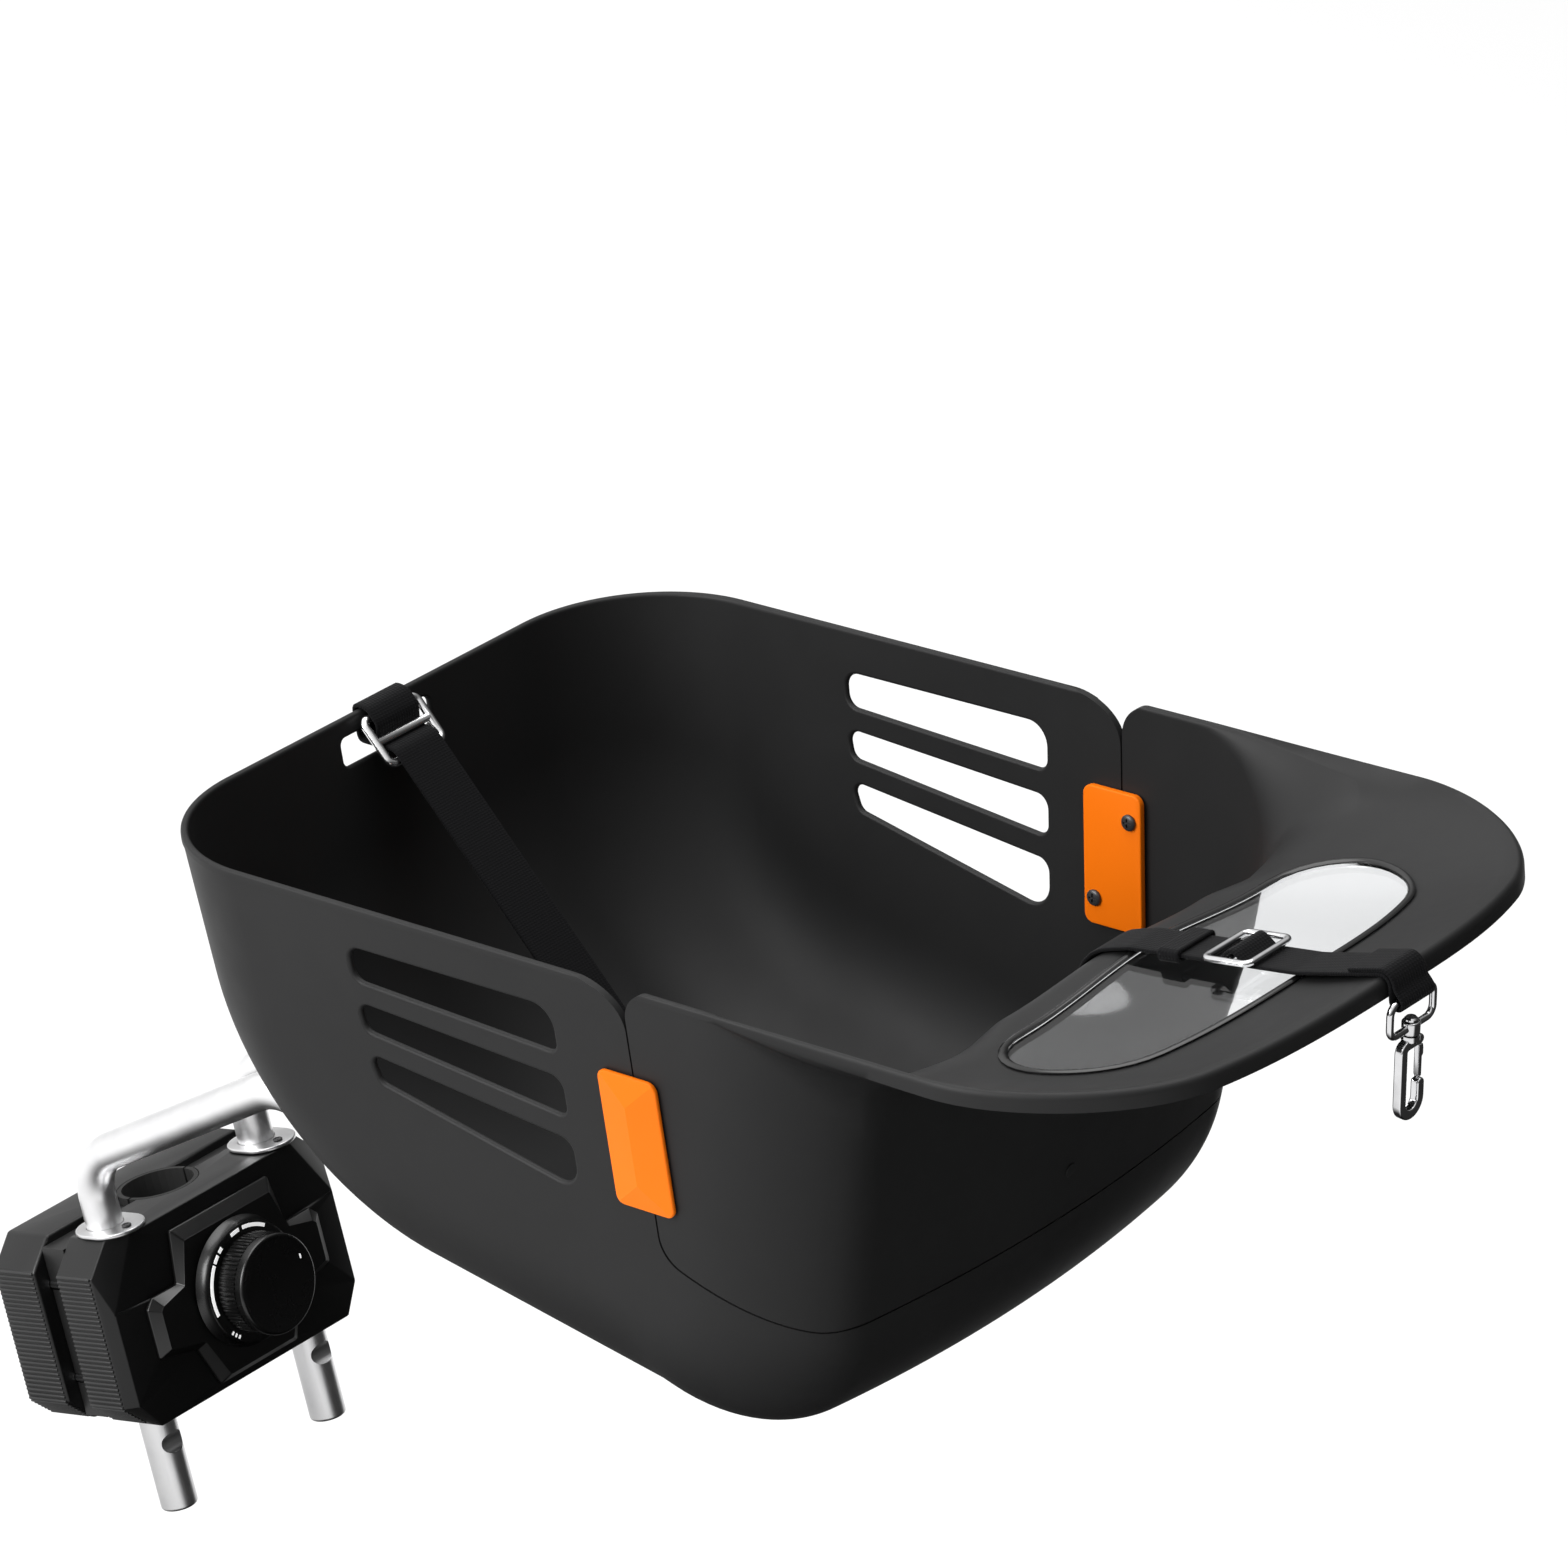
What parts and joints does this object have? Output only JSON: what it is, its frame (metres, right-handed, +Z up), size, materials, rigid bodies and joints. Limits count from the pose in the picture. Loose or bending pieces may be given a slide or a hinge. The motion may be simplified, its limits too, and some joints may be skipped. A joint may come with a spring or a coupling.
{
  "type": "dog bicycle basket",
  "caption": "Moulded dog basket with bonnet, pane and tether, on two bent tubes that slide in a seat tube clamp bracket with a locking knob.",
  "frame": {"origin": "on the seat tube's axis, at the middle of the clamp bracket's height", "axes": "+X forward along the bicycle, +Y left, +Z up; the seat tube leans back at 73.1 degrees in the XZ plane"},
  "size_m": [0.6849, 0.3056, 0.4602],
  "materials": {
    "shell": "satin moulded plastic",
    "bracket_plastic": "satin",
    "cover_plastic": "semi-gloss",
    "knob_plastic": "semi-gloss, fluted",
    "liner_rubber": "matte",
    "tube_metal": "satin silver",
    "steel": "bright plated",
    "clip_orange": "satin orange",
    "pane_clear": "clear, glossy",
    "bead_black": "gloss",
    "webbing": "flat woven webbing",
    "ring_pale": "pale"
  },
  "bodies": {
    "bracket": {"front_housing": "bracket_plastic", "rear_jaw": "bracket_plastic", "mid_plate_left": "cover_plastic", "mid_plate_right": "cover_plastic", "liner_front": "liner_rubber", "liner_rear": "liner_rubber", "jaw_bolt_upper_left": "steel", "jaw_bolt_upper_right": "steel", "jaw_bolt_lower_left": "steel", "jaw_bolt_lower_right": "steel", "leg_flange_left": "steel", "leg_flange_right": "steel", "flange_screw_left": "steel", "flange_screw_right": "steel", "cover_plate": "cover_plastic", "knob_collar": "cover_plastic", "index_ring": "ring_pale"},
    "knob": {"lock_knob": "knob_plastic", "knob_spindle": "steel"},
    "clamp_bar": {"clamp_bar": "steel"},
    "tether_ring": {"tether_ring": "steel"},
    "snap_hook": {"hook_body": "steel"},
    "snap_gate": {"hook_gate": "steel"},
    "basket": {"bonnet_pane": "pane_clear", "clip_keeper_left": "clip_orange", "clip_keeper_right": "clip_orange", "clip_left": "clip_orange", "clip_right": "clip_orange", "clip_screw_left_1": "steel", "clip_screw_left_2": "steel", "clip_screw_right_1": "steel", "clip_screw_right_2": "steel", "front_shell": "shell", "pane_bead": "bead_black", "rear_anchor": "steel", "rear_anchor_rivet": "steel", "rear_shell": "shell", "rear_slider": "steel", "rear_strap": "webbing", "saddle_bolt_front_left": "steel", "saddle_bolt_front_right": "steel", "saddle_bolt_rear_left": "steel", "saddle_bolt_rear_right": "steel", "saddle_front": "bracket_plastic", "saddle_rear": "bracket_plastic", "support_tube_left": "tube_metal", "support_tube_right": "tube_metal", "tether_anchor": "steel", "tether_anchor_rivet": "steel", "tether_keeper": "webbing", "tether_slider": "steel", "tether_strap": "webbing", "tube_cap_left": "knob_plastic", "tube_cap_right": "knob_plastic"}
  },
  "joints": [
    {"name": "basket_lift", "type": "slide", "parent": "bracket", "child": "basket", "axis": [-0.2907, 0, 0.9568], "range_m": [-0.004, 0.055]},
    {"name": "lock_knob_turn", "type": "hinge", "parent": "bracket", "child": "knob", "pos_m": [0, 0, 0], "axis": [0.9568, 0, 0.2907], "range_deg": [0, 180]},
    {"name": "clamp_bar_slide", "type": "slide", "parent": "bracket", "child": "clamp_bar", "axis": [0.9568, 0, 0.2907], "range_m": [0, 0.0015]},
    {"name": "ring_swing", "type": "hinge", "parent": "basket", "child": "tether_ring", "pos_m": [0.63579, 0, 0.36792], "axis": [0, -1, 0], "range_deg": [-55, 95]},
    {"name": "hook_turn", "type": "hinge", "parent": "tether_ring", "child": "snap_hook", "pos_m": [0.63579, 0, 0.36792], "axis": [0, 0, 1], "continuous": true},
    {"name": "gate_open", "type": "hinge", "parent": "snap_hook", "child": "snap_gate", "pos_m": [0.63579, 0.0055, 0.34514], "axis": [-1, 0, 0], "range_deg": [0, 30], "stiffness_Nm_per_rad": 0.01}
  ],
  "couplings": [
    {"joint": "lock_knob_turn", "follows": "clamp_bar_slide", "rad_per_m": 2094.4}
  ]
}
